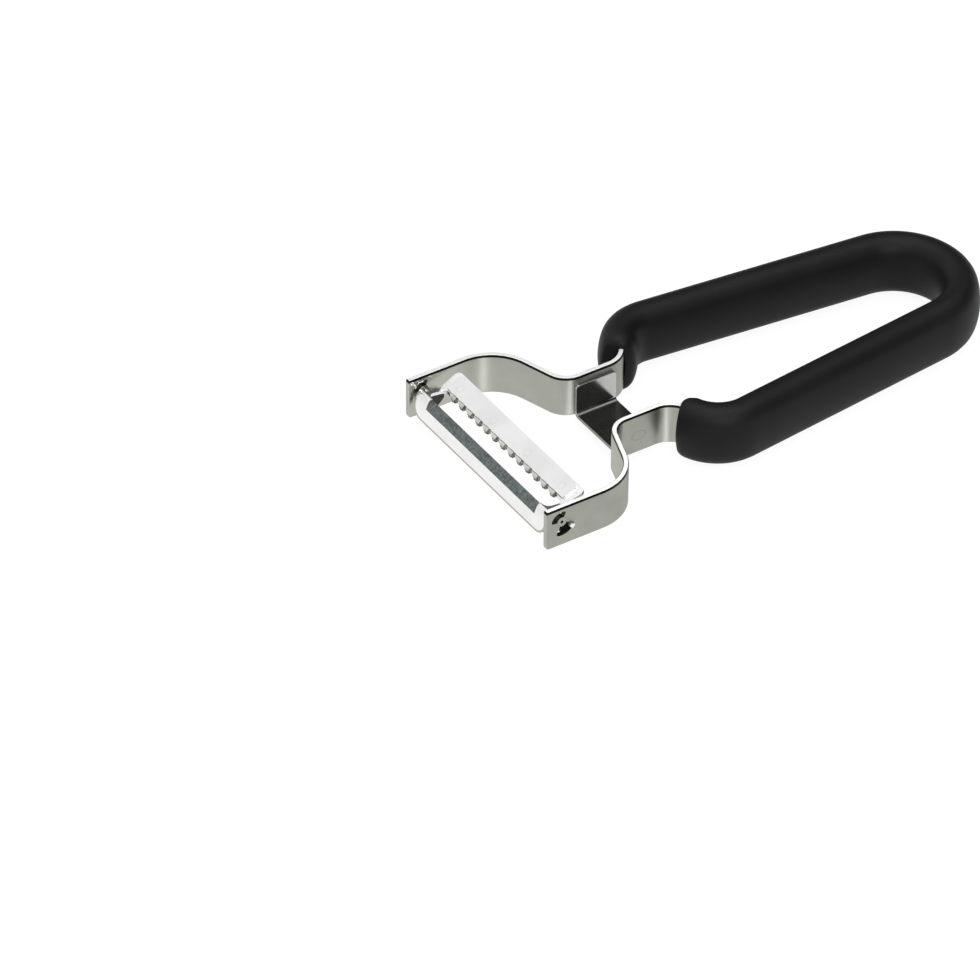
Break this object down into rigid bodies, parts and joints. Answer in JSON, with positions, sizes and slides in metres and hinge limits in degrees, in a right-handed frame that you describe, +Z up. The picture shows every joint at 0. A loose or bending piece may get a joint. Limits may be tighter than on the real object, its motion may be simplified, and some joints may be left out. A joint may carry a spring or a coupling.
{
  "type": "julienne peeler",
  "caption": "Y-shaped julienne peeler: a bent steel strip with two arms holds a swivelling slotted blade with a toothed plate, and a soft loop handle.",
  "frame": {"origin": "centre of the tool's box at the underside of the grip, the surface it lies on", "axes": "+Y runs from the blade to the end of the loop handle, +Z is up from the table, X lies along the blade"},
  "size_m": [0.0676, 0.1522, 0.0174],
  "materials": {
    "strip_steel": "satin faces, polished rounded edges",
    "soft_grip": "matte black, soft sheen",
    "brace_steel": "polished sheet",
    "blade_steel": "bright satin, ground bevel",
    "plate_steel": "bright satin"
  },
  "bodies": {
    "frame": {"frame_band": "strip_steel", "handle_grip": "soft_grip", "neck_brace": "brace_steel"},
    "blade": {"swivel_blade": "blade_steel", "julienne_plate": "plate_steel"}
  },
  "joints": [
    {"name": "blade_swivel", "type": "hinge", "parent": "frame", "child": "blade", "pos_m": [0, -0.07153, 0.01015], "axis": [1, 0, 0], "range_deg": [-68, 0]}
  ]
}
